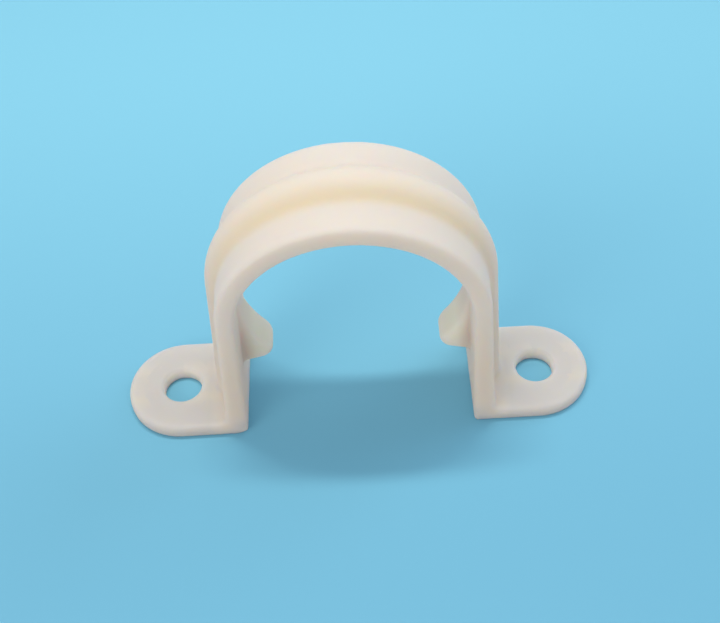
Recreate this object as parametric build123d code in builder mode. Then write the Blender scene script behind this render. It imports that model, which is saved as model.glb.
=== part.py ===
# Saddle strap that holds a pipe down on a flat surface with two screws.
# It is one moulding: an arch over the pipe, two legs that lean outwards, a round-ended foot
# under each leg, a half-round rib along the back of the arch and legs, and two stops between
# the legs that the pipe snaps past.
# X runs from foot to foot, Y along the pipe and Z up from the mounting surface.
# The origin lies on that surface, halfway between the feet. All lengths are in millimetres.

import os
from math import cos, radians, sin, sqrt, tan

from build123d import *

# Arch and legs
pipe_dia = 32.0  # outside diameter of the pipe
pipe_centre_z = 23.6  # height of the pipe's axis above the mounting surface
wall = 2.65  # thickness of the arch beside the pipe
crown_rise = 0.4  # how much thicker the arch is at its top
strap_width = 16.3  # size along the pipe
outer_lean = 3.8  # degrees that the backs of the legs lean outwards from vertical
inner_lean = 2.5  # degrees that their inner faces lean, less, so that the legs thicken downwards

# Feet and screw holes
foot_thickness = 2.4
screw_offset = 6.9  # from the back of a leg, at the top of its foot, to the hole's centre
screw_hole_dia = 5.7
foot_corner_radius = 1.2  # hollow corner between a leg and the top of its foot

# Rib
rib_bead_radius = 2.85  # radius of the rib's round back, seen in section
rib_side_height = 1.45  # how far the rib stands out beside the pipe
rib_crown_rise = 0.4  # how much further it stands out at the top of the arch
rib_root_radius = 0.8  # hollow corner along both sides of the rib

# Stops between the legs
stop_reach = 3.9  # how far each tip reaches in past the side of the pipe
stop_width = 5.6
stop_tip_height = 1.35  # flat on the tip, below the pipe's seat
stop_slope = 15.5  # degrees that the underside falls from the tip towards the leg
stop_corner_radius = 1.6  # rounds the tip's two corners, seen from above
stop_edge_radius = 0.95  # rounds the tip and both sides, above and below

# Broken edges
outer_edge_chamfer = 0.4  # back of the arch, the legs and the feet
inner_edge_chamfer = 0.3  # inside of the arch and the legs
hole_edge_chamfer = 0.4
base_edge_chamfer = 0.2
match_tolerance = 0.01  # a corner this close to a wanted place is the one at that place

# Sizes that follow from the ones above
pipe_radius = pipe_dia / 2
back_radius = pipe_radius + wall
back_centre_z = pipe_centre_z + crown_rise
rib_centre_z = back_centre_z + rib_crown_rise
bead_path_radius = back_radius + rib_side_height - rib_bead_radius
half_width = strap_width / 2


def leg_x(radius, centre_z, lean, z):
    """Distance from the middle, at height z, of a leg's face that runs on from an arc."""
    return (radius + (centre_z - z) * sin(radians(lean))) / cos(radians(lean))


def arch_line(radius, centre_z, lean, end_z=0):
    """Draw a round arch on two leaning legs that end at height end_z."""
    end_x = leg_x(radius, centre_z, lean, end_z)
    arc = CenterArc((0, centre_z), radius, lean, 180 - 2 * lean)
    Line(arc @ 0, (end_x, end_z))
    Line(arc @ 1, (-end_x, end_z))
    return end_x


corner_x = leg_x(back_radius, back_centre_z, outer_lean, foot_thickness)
screw_spacing = 2 * (corner_x + screw_offset)
overall_length = screw_spacing + strap_width

# Stops: the pipe's seat runs on down to the tip, and the underside slopes back to the leg.
# Each stop reaches half a wall into its leg.
tip_x = pipe_radius - stop_reach
seat_z = pipe_centre_z - sqrt(pipe_radius**2 - tip_x**2)
tip_z = seat_z - stop_tip_height
anchor_x = leg_x(pipe_radius, pipe_centre_z, inner_lean, tip_z) + wall / 2
anchor_z = tip_z - (anchor_x - tip_x) * tan(radians(stop_slope))
seat_top = Vector(pipe_radius).rotate(Axis.Z, inner_lean) + Vector(0, pipe_centre_z)

with BuildPart() as stops:
    with BuildSketch(Plane.XZ):
        with BuildLine():
            seat = RadiusArc(seat_top, (tip_x, seat_z), pipe_radius)
            Polyline(
                seat @ 1,
                (tip_x, tip_z),
                (anchor_x, anchor_z),
                (anchor_x, seat_top.Y),
                seat @ 0,
            )
        make_face()
    extrude(amount=stop_width / 2, both=True)
    fillet(faces().sort_by(Axis.X)[0].edges().filter_by(Axis.Z), stop_corner_radius)
    # From the tip, each fillet runs on round both corners and along the sides.
    fillet(faces().sort_by(Axis.X)[0].edges().filter_by(Axis.Y), stop_edge_radius)
    mirror(about=Plane.YZ)

with BuildPart() as pipe_strap:
    # Side view: the arch and legs, filled for now, with a strip along the base for the feet.
    with BuildSketch(Plane.XZ):
        with BuildLine():
            back_x = arch_line(back_radius, back_centre_z, outer_lean)
            Line((-back_x, 0), (back_x, 0))
        make_face()
        Rectangle(overall_length, foot_thickness, align=(Align.CENTER, Align.MIN))
        hollow_corners = [v for v in vertices() if abs(abs(v.X) - corner_x) < match_tolerance]
        fillet(hollow_corners, foot_corner_radius)
    extrude(amount=half_width, both=True)

    # Plan view: both ends are round about the screw holes.
    with BuildSketch():
        SlotCenterToCenter(screw_spacing, strap_width)
    extrude(amount=back_centre_z + back_radius, mode=Mode.INTERSECT)

    # One bevelled rim runs all the way round the back, over the arch and along the feet.
    above_base = edges().filter_by(lambda edge: edge.bounding_box().min.Z > foot_thickness / 2)
    chamfer(above_base.filter_by(Axis.Y, reverse=True), outer_edge_chamfer)

    # Rib: a round bead along the back, with its lower ends inside the feet.
    with BuildLine(Plane.XZ) as bead_path:
        arch_line(bead_path_radius, rib_centre_z, outer_lean, foot_thickness / 2)
    bead_wire = bead_path.wires()[0]
    with BuildSketch(Plane(origin=bead_wire @ 0, z_dir=bead_wire % 0)):
        Circle(rib_bead_radius)
    sweep(path=bead_wire)
    fillet(edges(Select.NEW), rib_root_radius)

    # Passage for the pipe, open at the base and cut past both faces
    with BuildSketch(Plane.XZ):
        with BuildLine():
            passage_x = arch_line(pipe_radius, pipe_centre_z, inner_lean)
            Line((-passage_x, 0), (passage_x, 0))
        make_face()
    extrude(amount=strap_width, both=True, mode=Mode.SUBTRACT)
    above_base = edges(Select.LAST).filter_by(lambda edge: edge.bounding_box().max.Z > foot_thickness)
    chamfer(above_base.filter_by(Axis.Y, reverse=True), inner_edge_chamfer)

    # The outer edges of the underside are slightly broken.
    chamfer(faces().group_by(Axis.Z)[0].edges(), base_edge_chamfer)

    # Screw holes, with a bevelled rim on top
    with BuildSketch():
        with GridLocations(screw_spacing, 0, 2, 1):
            Circle(screw_hole_dia / 2)
    extrude(amount=foot_thickness, mode=Mode.SUBTRACT)
    hole_rims = edges(Select.LAST).filter_by(GeomType.CIRCLE).group_by(Axis.Z)[-1]
    chamfer(hole_rims, hole_edge_chamfer)

    add(stops.part)

pipe_strap.part.label = "pipe_strap"
os.makedirs("parts", exist_ok=True)
export_step(pipe_strap.part, "parts/pipe_strap.step")
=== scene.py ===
# %% [markdown]
# The object is a saddle strap that holds a pipe down on a board. It is one moulding in off-white
# plastic, so the whole scene is one piece on a plain floor. The solid comes from the CAD frame with
# its real size, and the later steps keep to that size.

# %% Load the frame
import math

import bmesh
import bpy
import numpy as np
from mathutils import Matrix, Vector


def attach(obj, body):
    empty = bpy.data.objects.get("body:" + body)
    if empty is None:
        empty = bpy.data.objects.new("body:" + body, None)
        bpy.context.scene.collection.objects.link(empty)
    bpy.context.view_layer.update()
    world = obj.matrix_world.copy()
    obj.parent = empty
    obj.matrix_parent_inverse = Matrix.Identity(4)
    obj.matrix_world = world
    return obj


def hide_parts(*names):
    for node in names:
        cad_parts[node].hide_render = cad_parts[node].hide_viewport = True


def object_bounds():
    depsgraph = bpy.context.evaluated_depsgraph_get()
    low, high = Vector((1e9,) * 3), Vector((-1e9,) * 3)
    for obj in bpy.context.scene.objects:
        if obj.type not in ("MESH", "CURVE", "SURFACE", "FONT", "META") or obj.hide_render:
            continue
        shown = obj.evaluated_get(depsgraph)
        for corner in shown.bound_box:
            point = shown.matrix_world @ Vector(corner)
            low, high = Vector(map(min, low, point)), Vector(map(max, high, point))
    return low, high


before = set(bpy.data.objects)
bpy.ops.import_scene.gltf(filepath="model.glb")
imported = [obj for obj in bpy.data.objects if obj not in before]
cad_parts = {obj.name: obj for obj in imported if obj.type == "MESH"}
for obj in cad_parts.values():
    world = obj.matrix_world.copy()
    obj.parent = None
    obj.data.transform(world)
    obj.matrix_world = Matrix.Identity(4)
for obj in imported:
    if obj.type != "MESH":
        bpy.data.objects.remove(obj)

cad_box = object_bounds()
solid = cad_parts["pipe_strap"]
print("CAD solid:", len(solid.data.polygons), "facets, box", cad_box)

# %% [markdown]
# A moulding leaves its tool with no knife-sharp edge: the corners of the cavity are rounded, and
# the plastic shrinks away from them as it cools. The CAD solid has flat bevels there instead.
# Bevels could be rounded one edge at a time, but they meet the rib and the feet in many short
# edges. It is simpler to divide the whole skin again into small even squares and to let it relax,
# which turns each bevel into a soft round and leaves the broad faces where they are. The first step
# is a closed copy of the solid's skin.

# %% Copy the solid's skin and close its seams
MM = 0.001
WELD = 0.0005 * MM  # points of neighbouring faces this close together become one

skin = bmesh.new()
skin.from_mesh(solid.data)
bmesh.ops.remove_doubles(skin, verts=skin.verts, dist=WELD)
open_edges = sum(len(edge.link_faces) != 2 for edge in skin.edges)
moulding_mesh = bpy.data.meshes.new("strap_moulding")
skin.to_mesh(moulding_mesh)
skin.free()
moulding = bpy.data.objects.new("strap_moulding", moulding_mesh)
bpy.context.scene.collection.objects.link(moulding)
print("welded skin:", len(moulding_mesh.vertices), "points,", open_edges, "open edges")

# %% [markdown]
# Dividing the facets themselves would keep their long thin shapes, which relax unevenly. The voxel
# remesh lays even squares instead. Each is about a quarter of a millimetre wide, two to a bevel,
# which keeps the whole piece under 200,000 triangles.

# %% Divide the skin evenly
SQUARE = 0.26 * MM


def apply_modifiers(piece):
    """Bake the piece's modifiers into its own mesh."""
    graph = bpy.context.evaluated_depsgraph_get()
    baked = bpy.data.meshes.new_from_object(piece.evaluated_get(graph))
    baked.name = piece.name
    piece.modifiers.clear()
    piece.data = baked


remesh = moulding.modifiers.new("even squares", "REMESH")
remesh.mode = "VOXEL"
remesh.voxel_size = SQUARE
remesh.use_smooth_shade = True
apply_modifiers(moulding)
print("even skin:", len(moulding.data.polygons), "faces")

# %% [markdown]
# The front corner inside the left foot is worn off at the base: its lower edge turns up in the last
# two millimetres. The worn face is a plane across the three edges that meet in the corner. It could
# be cut off with a boolean, which leaves long thin faces there. Here, points of the skin that lie
# outside the plane are pushed back onto it, and the squares stay even.

# %% Wear the left foot's inner corner
WORN_ALONG = 2.1 * MM
WORN_DEEP = 0.8 * MM
WORN_HIGH = 1.1 * MM
EDGE_DEPTH = 1 * MM  # points this near the front and the base lie along the foot's front edge


def read_points(mesh, what):
    """One row of three numbers for each point: its place, "co", or its direction, "normal"."""
    numbers = np.empty(len(mesh.vertices) * 3)
    mesh.vertices.foreach_get(what, numbers)
    return numbers.reshape(-1, 3)


front_y, base_z = cad_box[0][1], cad_box[0][2]
points = read_points(moulding.data, "co")
left = points[:, 0] < 0
at_front_edge = (points[:, 1] < front_y + EDGE_DEPTH) & (points[:, 2] < base_z + EDGE_DEPTH)
corner = np.array([points[left & at_front_edge, 0].max(), front_y, base_z])
slope = np.array([1 / WORN_ALONG, -1 / WORN_DEEP, -1 / WORN_HIGH])
outside = np.clip(1 + (points - corner) @ slope, 0, None) * left
pushed_back = points - np.outer(outside, slope / (slope @ slope))
moulding.data.vertices.foreach_set("co", pushed_back.ravel())
print("worn corner:", int((outside > 0).sum()), "points pushed back")

# %% [markdown]
# Not all edges of the strap are equally round. The rim that runs over the arch and round the top of
# both feet is rounder than the rest, about a millimetre, and so are the hollow corners along the
# rib and on top of the feet. They could be relaxed in pieces of their own, but then seams would
# show. A vertex group marks them on the one skin and fades out at its ends. The holes stay out of
# it.

# %% Find the rounder places
HOLE_OUT = 27.026 * MM  # from the strap's middle to the centre of a hole and of a foot's end
LEG_OUT = 20.1 * MM  # from the strap's middle to the back of a leg, on top of its foot
FOOT_TOP = 2.4 * MM
ARCH_CENTRE = 23.6 * MM
RIM_DEPTH = 2.2 * MM
RIM_ABOVE, RIM_FADE = 1.1 * MM, 1 * MM  # the rim starts above the lower edges of the feet
HOLLOW_REACH = 2.4 * MM
RIB_ROOT = 2.9 * MM  # from the middle of the rib to its hollow corners
ROOT_SPREAD = 0.6 * MM
ROOT_PAST_LEG = 3 * MM  # how far the rib and its corners stand out past LEG_OUT
ARCH_BACK = 17 * MM  # between the inside and the back of the arch, from its centre

# Each mark is full near its edge or corner, and fades out over as far again.
x, y, z = points.T
half_width = cad_box[1][1]
from_middle = np.hypot(np.clip(abs(x) - HOLE_OUT, 0, None), y)
near_rim = np.clip((from_middle - half_width + RIM_DEPTH) / (0.5 * RIM_DEPTH), 0, 1)
near_rim = near_rim * np.clip((z - RIM_ABOVE) / RIM_FADE, 0, 1)
from_corner = np.hypot(abs(x) - LEG_OUT, z - FOOT_TOP)
in_corner = np.clip(2 - 2 * from_corner / HOLLOW_REACH, 0, 1)
from_arch_centre = np.hypot(x, np.clip(z - ARCH_CENTRE, 0, None))
on_back = (abs(x) < LEG_OUT + ROOT_PAST_LEG) & (from_arch_centre > ARCH_BACK)
at_root = np.clip(2 - abs(abs(y) - RIB_ROOT) / ROOT_SPREAD, 0, 1) * on_back

rounder = moulding.vertex_groups.new(name="rounder places")
weights = np.maximum.reduce([near_rim, in_corner, at_root])
for index in np.flatnonzero(weights):
    rounder.add([int(index)], float(weights[index]), "REPLACE")
print("rounder places:", np.count_nonzero(weights), "of", len(weights), "points")

# %% [markdown]
# The smooth modifier moves each point towards its neighbours, again and again. After nine rounds
# the softening reaches about half a millimetre from an edge, which suits the holes, the stops and
# the lower edges of the feet. The rounder places get 21 rounds more.

# %% Relax the skin
ALL_ROUNDS = 9
MORE_ROUNDS = 21
STEP = 0.5  # share of the way to the neighbours that a point moves in a round


def relax(name, rounds, group=""):
    """Relax the whole moulding, or only the places of one vertex group."""
    smooth = moulding.modifiers.new(name, "SMOOTH")
    smooth.factor = STEP
    smooth.iterations = rounds
    smooth.vertex_group = group


relax("relax all", ALL_ROUNDS)
relax("relax more", MORE_ROUNDS, rounder.name)
apply_modifiers(moulding)
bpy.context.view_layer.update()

# %% [markdown]
# Milky plastic changes colour with its depth, because light that has gone a long way through it
# comes back yellower. That could be left to the render alone, but it takes a very long light path.
# The places that look different can all be told by position, so each gets a soft mask instead, one
# number for each point of the skin, and a tint that the material lays over its own colour. The tints
# are painted light and shade: a painted glow where light comes through, painted light in hollows,
# painted shade lower down.

# %% Read the soft skin
NEARLY_FULL = 0.99

soft_mesh = moulding.data
x, y, z = read_points(soft_mesh, "co").T
normals = read_points(soft_mesh, "normal")


def store_mask(name, values):
    """Keep one number a point on the mesh, under a name the shader can read."""
    mask = soft_mesh.attributes.new(name, "FLOAT", "POINT")
    mask.data.foreach_set("value", values.astype(np.float32))
    full = int((values > NEARLY_FULL).sum())
    print(name, "mask: mean", round(float(values.mean()), 3), "full on", full, "points")


print("soft skin:", len(x), "points")

# %% [markdown]
# The rib is the thickest place. The lamp hangs a little behind it, so its front flank is the shaded
# side and gets the light that has gone through the rib. A painted yellow glow stands in for that,
# the yellowest on the front flank over the top of the arch. Its crest and its back flank get a third
# of that painted glow. The hollow behind it gets the lamp's light straight, so painted light keeps
# it as light as the flat beside it. Both masks grow weaker down the legs.

# %% Mark the painted glow on the rib and the painted light behind it
FLANK, FLANK_SPREAD = 2.5 * MM, 1.1 * MM  # from the middle of the rib to the middle of its flank
CREST_SHARE = 0.3
BACK_SHARE = 0.3
BEHIND_RIB, BEHIND_SPREAD = 3.1 * MM, 1.1 * MM
BEHIND_TOP = 1.4  # over 1, so that the mask has a flat top
PALE_BELOW, FULL_ABOVE = 12 * MM, 40 * MM
PALE_SHARE = 0.3

outward = normals[:, 0] * x + normals[:, 2] * np.clip(z - ARCH_CENTRE, 0, None) > 0
paler_below = np.clip((z - PALE_BELOW) / (FULL_ABOVE - PALE_BELOW), PALE_SHARE, 1)
flank = np.exp(-(((abs(y) - FLANK) / FLANK_SPREAD) ** 2))
crest = np.where(abs(y) < FLANK, CREST_SHARE, 0)
shaded_side = np.where(y < 0, 1, BACK_SHARE)
behind = np.clip(BEHIND_TOP - abs(y - BEHIND_RIB) / BEHIND_SPREAD, 0, 1)
# painted glow on the rib, strongest on its shaded front flank
store_mask("rib", outward * paler_below * (crest + (1 - crest) * flank * shaded_side))
# painted light in the hollow behind the rib
store_mask("behind the rib", outward * paler_below * behind)

# %% [markdown]
# The stops are small wedges with blue paper below, and a painted green-yellow glow stands in for the
# light that comes through them. The legs get painted shade: a shade darker than the arch, and tan
# down to the feet. The feet lie flat on the paper: light goes through them, loses red in the paper
# and comes back weaker, so painted shade makes them a little grey. The walls of the screw holes and
# the hollow corners beside the legs get painted light and stay bright.

# %% Mark the painted glow on the stops, painted shade on the legs and feet, painted light on the hole walls
STOPS_INSIDE = 15.9 * MM  # nearer the middle than any leg
STOPS_BELOW = 22 * MM
PAINTED_GLOW_DEPTH = 1.5 * MM
LEG_START, LEG_FULL = 26 * MM, 14 * MM
FADE_HEIGHT = 4 * MM
PAINTED_LIGHT_CORNER_REACH, CORNER_SHARE = 2.6 * MM, 0.1
HOLE_RIM, HOLE_FADE = 3.1 * MM, 0.4 * MM

# painted glow on the stops; painted shade on the legs, darker lower down, and on the feet
inward = np.clip((STOPS_INSIDE - abs(x)) / PAINTED_GLOW_DEPTH, 0, 1)
from_corner = np.hypot(abs(x) - LEG_OUT, z - FOOT_TOP)
feet = np.clip(1 - (z - FOOT_TOP) / FADE_HEIGHT, 0, 1) ** 2
# the feet's painted shade fades out next to the legs, so painted light keeps those hollow corners
# bright
feet = feet * np.clip(from_corner / PAINTED_LIGHT_CORNER_REACH, CORNER_SHARE, 1)
legs = np.clip((LEG_START - z) / (LEG_START - LEG_FULL), 0, 1) * (1 - feet)
from_hole = np.hypot(abs(x) - HOLE_OUT, y)
store_mask("stops", inward * (z < STOPS_BELOW))
store_mask("legs", legs)
store_mask("feet", feet)
# painted light on the walls of the screw holes
store_mask("hole walls", np.clip((HOLE_RIM - from_hole) / HOLE_FADE, 0, 1))

# %% [markdown]
# The plastic is unpainted, and its colour drifts slightly between cream and a cooler white. One
# flat colour would look like paint, so a slow noise mixes the two. It is laid by place on the part,
# and doesn't slide when the view changes.

# %% Mix the plastic's own colour
CREAM = (0.82, 0.775, 0.71, 1)
COOL_WHITE = (0.79, 0.77, 0.75, 1)
PATCHES_PER_METRE = 90
PATCH_DETAIL, PATCH_ROUGHNESS = 2, 0.5

plastic = bpy.data.materials.new("milky_strap_plastic")
plastic.use_nodes = True
plastic_tree = plastic.node_tree
shader = plastic_tree.nodes["Principled BSDF"]


def add_node(tree, kind, label, **values):
    """Add a node to a material, with a readable label and its socket values."""
    node = tree.nodes.new(kind)
    node.label = label
    for name, value in values.items():
        node.inputs[name.replace("_", " ")].default_value = value
    return node


def add_colour_mix(tree, label, **ends):
    """Add a node that goes from colour A to colour B. A link may give either of them."""
    node = add_node(tree, "ShaderNodeMix", label)
    node.data_type = "RGBA"
    for end, colour in ends.items():
        node.inputs[end].default_value = colour
    return node


place = add_node(plastic_tree, "ShaderNodeTexCoord", "place on the part")
patches = add_node(plastic_tree, "ShaderNodeTexNoise", "slow drift of colour",
                   Scale=PATCHES_PER_METRE, Detail=PATCH_DETAIL, Roughness=PATCH_ROUGHNESS)
drift = add_colour_mix(plastic_tree, "cream to cool white", A=CREAM, B=COOL_WHITE)
plastic_tree.links.new(place.outputs["Object"], patches.inputs["Vector"])
plastic_tree.links.new(patches.outputs["Fac"], drift.inputs["Factor"])
print("own colour: from", CREAM[:3], "to", COOL_WHITE[:3])

# %% [markdown]
# Each mask of the skin now lays its tint of painted light, glow or shade over the colour below it.
# All six do the same with other values, so one function does the work and a list holds the mask,
# its colour and its share.

# %% Lay the painted light and shade
# every tint below is painted light or shade: painted glow on the rib and stops, painted light behind
# the rib and on the hole walls, painted shade on the legs and feet
RIB_PAINTED_GLOW = (0.86, 0.79, 0.60, 1)
PAINTED_LIGHT_WHITE = (0.87, 0.81, 0.765, 1)
STOP_PAINTED_GLOW = (0.86, 0.90, 0.80, 1)
LEG_PAINTED_SHADE = (0.74, 0.70, 0.635, 1)
FOOT_PAINTED_SHADE = (0.64, 0.655, 0.66, 1)
HOLE_WALL_PAINTED_LIGHT = (0.90, 0.89, 0.87, 1)
PAINTED_LIGHT_TINTS = (
    ("legs", LEG_PAINTED_SHADE, 1),
    ("feet", FOOT_PAINTED_SHADE, 0.95),
    ("hole walls", HOLE_WALL_PAINTED_LIGHT, 0.9),
    ("rib", RIB_PAINTED_GLOW, 0.7),
    ("behind the rib", PAINTED_LIGHT_WHITE, 0.45),
    ("stops", STOP_PAINTED_GLOW, 0.8),
)


def add_maths(tree, label, operation, second=None):
    """Add a node that works on two numbers. A link may give the second."""
    node = add_node(tree, "ShaderNodeMath", label)
    node.operation = operation
    if second is not None:
        node.inputs[1].default_value = second
    return node


def tint_where(mask_name, colour, share, below):
    """Lay a colour over the one below, by a mask of the mesh times a share."""
    mask = add_node(plastic_tree, "ShaderNodeAttribute", mask_name)
    mask.attribute_name = mask_name
    amount = add_maths(plastic_tree, mask_name + ", how much", "MULTIPLY", share)
    tint = add_colour_mix(plastic_tree, mask_name + " tint", B=colour)
    plastic_tree.links.new(mask.outputs["Fac"], amount.inputs[0])
    plastic_tree.links.new(amount.outputs[0], tint.inputs["Factor"])
    plastic_tree.links.new(below, tint.inputs["A"])
    return tint.outputs["Result"]


body_colour = drift.outputs["Result"]
for mask_name, colour, share in PAINTED_LIGHT_TINTS:
    body_colour = tint_where(mask_name, colour, share, body_colour)
plastic_tree.links.new(body_colour, shader.inputs["Base Color"])
print("tints laid:", len(PAINTED_LIGHT_TINTS))

# %% [markdown]
# The tool's fine spark-eroded face leaves a satin grain on the moulding, and cooling leaves broad,
# very shallow waves. Both are far lower than a square of the mesh is wide, so they are heights for a
# bump node and not shapes. The satin is a little duller where the colour is cooler.

# %% Satin grain and shallow waves
GRAIN_SIZE, GRAIN_HEIGHT, GRAIN_DETAIL = 0.35 * MM, 0.004 * MM, 3
WAVE_SIZE, WAVE_HEIGHT, WAVE_DETAIL = 6 * MM, 0.03 * MM, 1
SATIN, DULLER = 0.5, 0.6  # roughness

grain = add_node(plastic_tree, "ShaderNodeTexNoise", "satin grain",
                 Scale=1 / GRAIN_SIZE, Detail=GRAIN_DETAIL)
waves = add_node(plastic_tree, "ShaderNodeTexNoise", "shallow waves",
                 Scale=1 / WAVE_SIZE, Detail=WAVE_DETAIL)
grain_height = add_maths(plastic_tree, "grain height", "MULTIPLY", GRAIN_HEIGHT)
height = add_maths(plastic_tree, "waves and grain", "MULTIPLY_ADD", WAVE_HEIGHT)
relief = add_node(plastic_tree, "ShaderNodeBump", "relief", Distance=1)
satin = add_node(plastic_tree, "ShaderNodeMapRange", "satin with duller patches",
                 To_Min=SATIN, To_Max=DULLER)
for output, socket in (
    (place.outputs["Object"], grain.inputs["Vector"]),
    (place.outputs["Object"], waves.inputs["Vector"]),
    (grain.outputs["Fac"], grain_height.inputs[0]),
    (waves.outputs["Fac"], height.inputs[0]),
    (grain_height.outputs[0], height.inputs[2]),
    (height.outputs[0], relief.inputs["Height"]),
    (relief.outputs["Normal"], shader.inputs["Normal"]),
    (patches.outputs["Fac"], satin.inputs["Value"]),
    (satin.outputs["Result"], shader.inputs["Roughness"]),
):
    plastic_tree.links.new(output, socket)
print("relief:", GRAIN_HEIGHT / MM, "mm grain on", WAVE_HEIGHT / MM, "mm waves")

# %% [markdown]
# Light goes a few millimetres into this plastic before it comes out again, so thin places and edges
# glow a little and shadows have soft, warm ends. A plain surface would look like chalk. Subsurface
# scattering carries the light inside, and red travels furthest. The surface itself reflects little.

# %% Let light into the plastic
LIGHT_REACH = 4.5 * MM
REACH_BY_COLOUR = (1.0, 0.75, 0.5)
LIGHT_BENDING = 1.49  # index of refraction
SURFACE_SHINE = 0.2

shader.inputs["Subsurface Weight"].default_value = 1
shader.inputs["Subsurface Scale"].default_value = LIGHT_REACH
shader.inputs["Subsurface Radius"].default_value = REACH_BY_COLOUR
shader.inputs["IOR"].default_value = LIGHT_BENDING
shader.inputs["Specular IOR Level"].default_value = SURFACE_SHINE
print("plastic:", len(plastic_tree.nodes), "nodes, light travels", LIGHT_REACH / MM, "mm")

# %% [markdown]
# The soft skin takes the CAD solid's place, rides on the same body and gets the milky plastic. The
# solid stays behind it for the physics.

# %% Put the moulding in the solid's place
moulding.data.materials.clear()
moulding.data.materials.append(plastic)
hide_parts("pipe_strap")
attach(moulding, "root")
triangles = sum(len(face.vertices) - 2 for face in moulding.data.polygons)
print("moulding in place:", triangles, "triangles")

# %% [markdown]
# The strap lies on a plain sheet of pale blue paper, which sets the off-white plastic off. Seen from
# the height of the photograph, the sheet fills the picture on every side. In a low view its far
# edge shows as a level line.

# %% Cut the sheet
SHEET_HALF = 3.0

sheet_mesh = bpy.data.meshes.new("ground")
signs = ((-1, -1), (1, -1), (1, 1), (-1, 1))
sheet_corners = [(side * SHEET_HALF, end * SHEET_HALF, 0) for side, end in signs]
sheet_mesh.from_pydata(sheet_corners, [], [(0, 1, 2, 3)])
ground = bpy.data.objects.new("ground", sheet_mesh)
bpy.context.scene.collection.objects.link(ground)
ground.location.z = base_z
print("sheet:", 2 * SHEET_HALF, "m square, at height", base_z)

# %% [markdown]
# Blue paper would throw blue light up at the plastic and hide its own colour. White paper wouldn't,
# but it isn't what the strap lies on. So the paper is blue only to the camera and to reflections,
# and to all other light it is a neutral pale grey. Its far part gets a little more of the room's
# light, and that is painted light: its blue is painted a shade lighter there.

# %% Colour the paper
SEEN_BLUE = (0.20, 0.59, 0.84, 1)
FAR_BLUE_PAINTED_LIGHT = (0.275, 0.745, 0.99, 1)
BOUNCED_GREY = (0.59, 0.61, 0.61, 1)
FAR_STARTS, FAR_ENDS = -0.03, 0.09
PAPER_ROUGHNESS = 0.9

paper = bpy.data.materials.new("pale_paper")
paper.use_nodes = True
paper_tree = paper.node_tree
paper_shader = paper_tree.nodes["Principled BSDF"]
paper_shader.inputs["Roughness"].default_value = PAPER_ROUGHNESS
on_paper = add_node(paper_tree, "ShaderNodeTexCoord", "place on the paper")
axes = add_node(paper_tree, "ShaderNodeSeparateXYZ", "how far back")
# painted light: the paper's blue is painted lighter towards the back
far_part = add_node(paper_tree, "ShaderNodeMapRange", "near to far",
                    From_Min=FAR_STARTS, From_Max=FAR_ENDS)
far_part.interpolation_type = "SMOOTHSTEP"
blue = add_colour_mix(paper_tree, "painted light, lighter blue far away", A=SEEN_BLUE, B=FAR_BLUE_PAINTED_LIGHT)
ray = add_node(paper_tree, "ShaderNodeLightPath", "who looks")
seen_or_mirrored = add_maths(paper_tree, "camera or reflection", "MAXIMUM")
seen_any_way = add_maths(paper_tree, "or through something", "MAXIMUM")
paper_colour = add_colour_mix(paper_tree, "blue only when seen", A=BOUNCED_GREY)
for output, socket in (
    (on_paper.outputs["Object"], axes.inputs["Vector"]),
    (axes.outputs["Y"], far_part.inputs["Value"]),
    (far_part.outputs["Result"], blue.inputs["Factor"]),
    (ray.outputs["Is Camera Ray"], seen_or_mirrored.inputs[0]),
    (ray.outputs["Is Glossy Ray"], seen_or_mirrored.inputs[1]),
    (seen_or_mirrored.outputs[0], seen_any_way.inputs[0]),
    (ray.outputs["Is Transmission Ray"], seen_any_way.inputs[1]),
    (seen_any_way.outputs[0], paper_colour.inputs["Factor"]),
    (blue.outputs["Result"], paper_colour.inputs["B"]),
    (paper_colour.outputs["Result"], paper_shader.inputs["Base Color"]),
):
    paper_tree.links.new(output, socket)
sheet_mesh.materials.append(paper)
print("paper:", len(paper_tree.nodes), "nodes")

# %% [markdown]
# A bright room lights a small object from all round. Lamps on every side could stand in for it, but
# their shadows would cross on the paper. The world is simpler: a plain, slightly cool light that
# comes evenly from everywhere.

# %% Light the room
ROOM_COLOUR = (0.94, 0.95, 1, 1)
ROOM_LIGHT = 0.47

world = bpy.data.worlds.new("room")
world.use_nodes = True
room = world.node_tree.nodes["Background"]
room.inputs["Color"].default_value = ROOM_COLOUR
room.inputs["Strength"].default_value = ROOM_LIGHT
bpy.context.scene.world = world
print("room light:", ROOM_LIGHT)

# %% [markdown]
# One lamp near overhead gives the shadow under the arch, and the shadow tells what that lamp is
# like. Its front and back edges are sharp and its two ends fade slowly, so the lamp is long and
# narrow and lies along the strap. It falls forwards, so the lamp hangs a little behind, about eight
# arch heights up. The upright faces would be dull in that light alone. A wide warm lamp in front on
# the left lifts them. A cooler one behind on the right lights the outside of the right leg and the
# back edge of the arch. Both hang far off, so that the paper is lit evenly in every view.

# %% Hang the lamps
TUBE_PLACE = Vector((-0.02, 0.067, 0.375))
TUBE_LONG, TUBE_WIDE = 0.19, 0.02
TUBE_WATTS = 0.51
TUBE_COLOUR = (1, 0.91, 0.81)
FILL_PLACE = Vector((-0.95, -1.16, 0.95))
FILL_SIZE = 1.04
FILL_WATTS = 7.8
FILL_COLOUR = (1, 0.84, 0.7)
SIDE_PLACE = Vector((1.08, 0.54, 0.81))
SIDE_SIZE = 0.9
SIDE_WATTS = 3.24
SIDE_COLOUR = (0.86, 0.93, 1)


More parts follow.
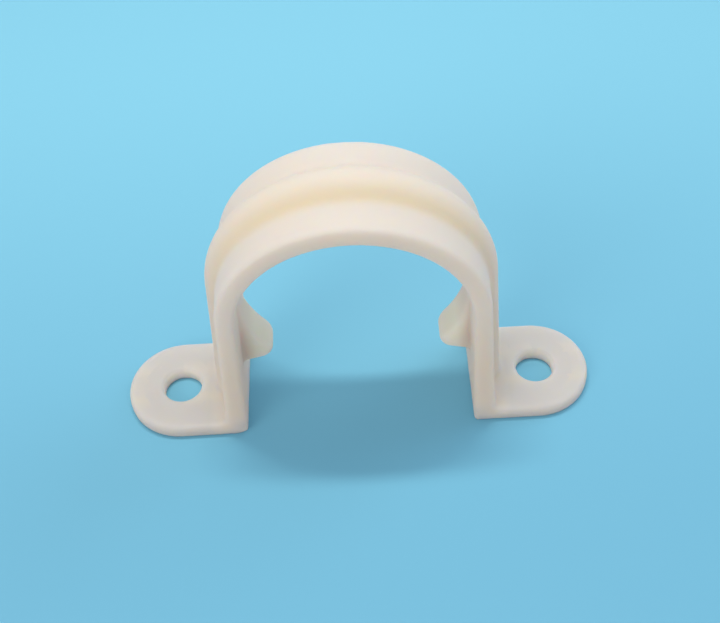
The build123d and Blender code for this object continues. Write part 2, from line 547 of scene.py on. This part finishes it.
def hang_lamp(name, place, long, wide, watts, colour):
    """A flat lamp that faces the strap, with its long side along the strap."""
    data = bpy.data.lights.new(name, "AREA")
    data.shape = "RECTANGLE"
    data.size = long
    data.size_y = wide
    data.energy = watts
    data.color = colour
    lamp = bpy.data.objects.new(name, data)
    bpy.context.scene.collection.objects.link(lamp)
    lamp.location = place
    away = place.normalized()
    across = away.cross(Vector((1, 0, 0))).normalized()
    along = across.cross(away)
    lamp.rotation_euler = Matrix((along, across, away)).transposed().to_euler()
    print(name, round(place.length, 2), "m away,", watts, "W")


hang_lamp("overhead_lamp", TUBE_PLACE, TUBE_LONG, TUBE_WIDE, TUBE_WATTS, TUBE_COLOUR)
hang_lamp("front_fill", FILL_PLACE, FILL_SIZE, FILL_SIZE, FILL_WATTS, FILL_COLOUR)
hang_lamp("side_fill", SIDE_PLACE, SIDE_SIZE, SIDE_SIZE, SIDE_WATTS, SIDE_COLOUR)

# %% [markdown]
# The camera stands where the photograph was taken from. It could be placed by eye, but its place
# was found by fitting the strap's outline: about 16 cm away, looking down at 53 degrees, turned and
# tilted a little.

# %% Find the camera's directions
FOCAL_PIXELS = 1104.4
AXIS_PIXEL = (392.7, 356.4)  # where the lens axis meets the picture
STRAP_PIXEL = (355.3, 322.9)  # where the point aimed at is seen
ELEVATION = math.radians(52.87)
TURN = math.radians(1.86)
ROLL = math.radians(-1.75)

ahead = Vector((
    math.sin(TURN) * math.cos(ELEVATION),
    math.cos(TURN) * math.cos(ELEVATION),
    -math.sin(ELEVATION),
))
level_right = ahead.cross(Vector((0, 0, 1))).normalized()
level_up = level_right.cross(ahead)
right = level_right * math.cos(ROLL) + level_up * math.sin(ROLL)
up = level_up * math.cos(ROLL) - level_right * math.sin(ROLL)
to_strap = (
    ahead
    + right * ((STRAP_PIXEL[0] - AXIS_PIXEL[0]) / FOCAL_PIXELS)
    - up * ((STRAP_PIXEL[1] - AXIS_PIXEL[1]) / FOCAL_PIXELS)
)
print("camera looks along", [round(part, 3) for part in ahead])

# %% [markdown]
# The picture was cropped off centre, which is what the small lens shift repeats. Turning the camera
# instead would change the perspective of the legs.

# %% Set the camera
PICTURE_WIDTH, PICTURE_HEIGHT = 720, 623
SENSOR_WIDTH = 36  # millimetres, as Blender counts a sensor
AIM_HEIGHT = 15 * MM
DISTANCE = 159.4 * MM
NEAREST_SEEN = 0.01

camera_data = bpy.data.cameras.new("camera")
camera_data.sensor_width = SENSOR_WIDTH
camera_data.lens = FOCAL_PIXELS / PICTURE_WIDTH * SENSOR_WIDTH
camera_data.shift_x = (PICTURE_WIDTH / 2 - AXIS_PIXEL[0]) / PICTURE_WIDTH
camera_data.shift_y = (AXIS_PIXEL[1] - PICTURE_HEIGHT / 2) / PICTURE_WIDTH
camera_data.clip_start = NEAREST_SEEN
camera = bpy.data.objects.new("camera", camera_data)
bpy.context.scene.collection.objects.link(camera)
camera_place = Vector((0, 0, AIM_HEIGHT)) - to_strap * DISTANCE
turned = Matrix((right, up, -ahead)).transposed()
camera.matrix_world = Matrix.Translation(camera_place) @ turned.to_4x4()
bpy.context.scene.camera = camera
print("camera at", [round(part, 4) for part in camera_place], "lens", round(camera_data.lens, 1))

# %% [markdown]
# The picture shows colours as the materials state them, so the view transform is the plain one.

# %% Finish
bpy.context.scene.view_settings.view_transform = "Standard"
